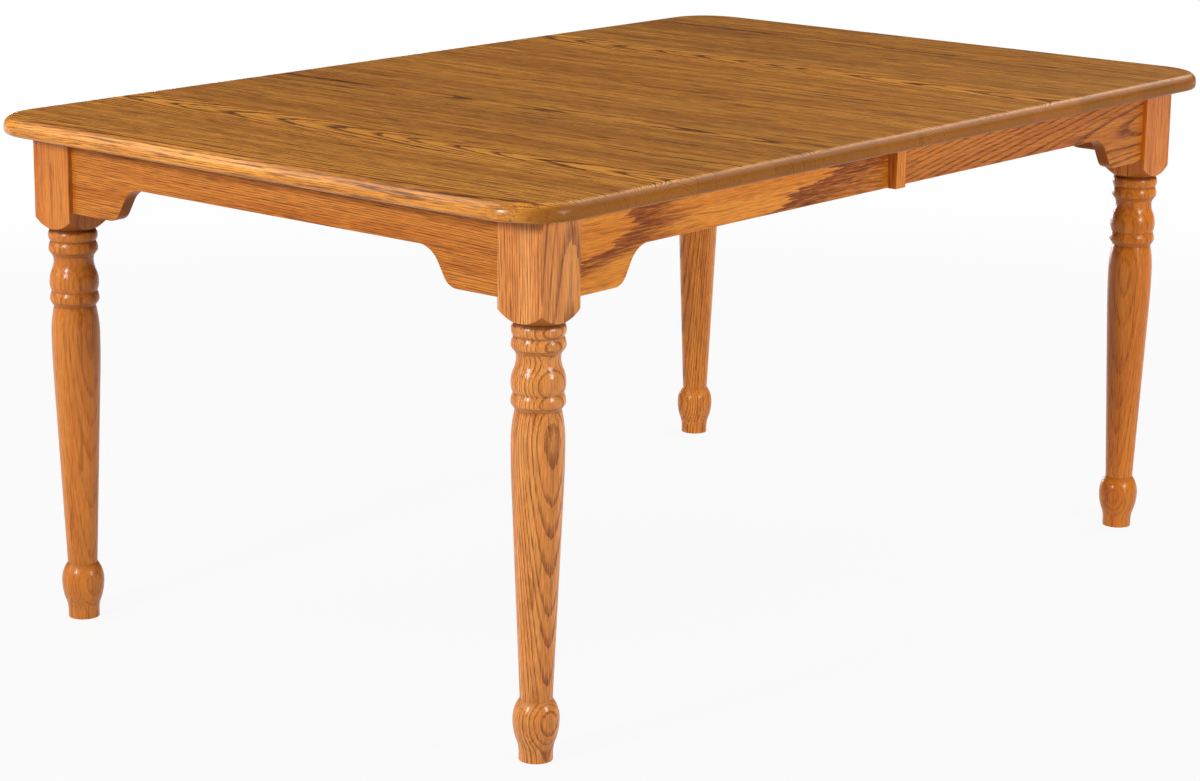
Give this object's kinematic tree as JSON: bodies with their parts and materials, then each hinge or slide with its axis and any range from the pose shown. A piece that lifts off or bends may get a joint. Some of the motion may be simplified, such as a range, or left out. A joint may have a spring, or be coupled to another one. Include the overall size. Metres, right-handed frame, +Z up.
{
  "type": "extension dining table",
  "caption": "Oak extension dining table with turned legs, bracketed aprons and a split top that slides apart on geared rails.",
  "frame": {"origin": "on the floor under the middle of the closed top", "axes": "+X along the length of the top, +Y from the front long side to the rear one, +Z up"},
  "size_m": [1.676, 1.067, 0.762],
  "materials": {
    "oak_top": "golden oak stain, satin lacquer",
    "oak_leg": "golden oak stain, satin lacquer",
    "oak_apron": "golden oak stain, satin lacquer",
    "oak_inner": "sanded, unstained",
    "slide_maple": "planed, waxed",
    "zinc_steel": "zinc plated",
    "lock_brass": "brass plated, dulled",
    "gear_nylon": "moulded nylon"
  },
  "bodies": {
    "left_half": {"apron_left_end": "oak_apron", "apron_left_front": "oak_apron", "apron_left_rear": "oak_apron", "apron_screws_left": "zinc_steel", "corner_block_left_front": "oak_inner", "corner_block_left_rear": "oak_inner", "gear_rack_left_front": "gear_nylon", "gear_rack_left_rear": "gear_nylon", "glue_blocks_left": "oak_inner", "hanger_bolts_left": "zinc_steel", "hanger_nuts_left": "zinc_steel", "hanger_washers_left": "zinc_steel", "leg_left_front": "oak_leg", "leg_left_rear": "oak_leg", "lock_base_front": "lock_brass", "lock_keeper_rear": "lock_brass", "lock_rivet_front": "lock_brass", "lock_screws_left": "zinc_steel", "seam_batten_rear": "oak_apron", "seam_dowels_left": "slide_maple", "slide_rail_left_front": "slide_maple", "slide_rail_left_rear": "slide_maple", "slide_screws_left": "zinc_steel", "top_left_half": "oak_top"},
    "right_half": {"apron_right_end": "oak_apron", "apron_right_front": "oak_apron", "apron_right_rear": "oak_apron", "apron_screws_right": "zinc_steel", "corner_block_right_front": "oak_inner", "corner_block_right_rear": "oak_inner", "gear_rack_right_front": "gear_nylon", "gear_rack_right_rear": "gear_nylon", "glue_blocks_right": "oak_inner", "hanger_bolts_right": "zinc_steel", "hanger_nuts_right": "zinc_steel", "hanger_washers_right": "zinc_steel", "leg_right_front": "oak_leg", "leg_right_rear": "oak_leg", "lock_base_rear": "lock_brass", "lock_keeper_front": "lock_brass", "lock_rivet_rear": "lock_brass", "lock_screws_right": "zinc_steel", "seam_batten_front": "oak_apron", "seam_dowels_right": "slide_maple", "slide_rail_right_front": "slide_maple", "slide_rail_right_rear": "slide_maple", "slide_screws_right": "zinc_steel", "top_right_half": "oak_top"},
    "centre_slide_front": {"pinion_axle_front": "zinc_steel", "slide_rail_centre_front": "slide_maple"},
    "centre_slide_rear": {"pinion_axle_rear": "zinc_steel", "slide_rail_centre_rear": "slide_maple"},
    "pinion_front": {"pinion_front": "gear_nylon"},
    "pinion_rear": {"pinion_rear": "gear_nylon"},
    "lock_lever_front": {"lock_lever_front": "lock_brass"},
    "lock_lever_rear": {"lock_lever_rear": "lock_brass"}
  },
  "joints": [
    {"name": "table_extension", "type": "slide", "parent": "left_half", "child": "right_half", "axis": [1, 0, 0], "range_m": [0, 0.61]},
    {"name": "centre_slide_front_travel", "type": "slide", "parent": "left_half", "child": "centre_slide_front", "axis": [1, 0, 0], "range_m": [0, 0.305]},
    {"name": "centre_slide_rear_travel", "type": "slide", "parent": "left_half", "child": "centre_slide_rear", "axis": [1, 0, 0], "range_m": [0, 0.305]},
    {"name": "pinion_front_spin", "type": "hinge", "parent": "centre_slide_front", "child": "pinion_front", "pos_m": [0, -0.24, 0.724], "axis": [0, 0, 1], "range_deg": [-1093, 0]},
    {"name": "pinion_rear_spin", "type": "hinge", "parent": "centre_slide_rear", "child": "pinion_rear", "pos_m": [0, 0.24, 0.724], "axis": [0, 0, 1], "range_deg": [-1093, 0]},
    {"name": "lock_front_swing", "type": "hinge", "parent": "left_half", "child": "lock_lever_front", "pos_m": [-0.045, -0.07, 0.7285], "axis": [0, 0, 1], "range_deg": [0, 45]},
    {"name": "lock_rear_swing", "type": "hinge", "parent": "right_half", "child": "lock_lever_rear", "pos_m": [0.045, 0.07, 0.7285], "axis": [0, 0, 1], "range_deg": [0, 45]}
  ],
  "couplings": [
    {"joint": "centre_slide_front_travel", "follows": "table_extension", "ratio": 0.5},
    {"joint": "centre_slide_rear_travel", "follows": "table_extension", "ratio": 0.5},
    {"joint": "pinion_front_spin", "follows": "table_extension", "rad_per_m": -31.25},
    {"joint": "pinion_rear_spin", "follows": "table_extension", "rad_per_m": -31.25}
  ]
}
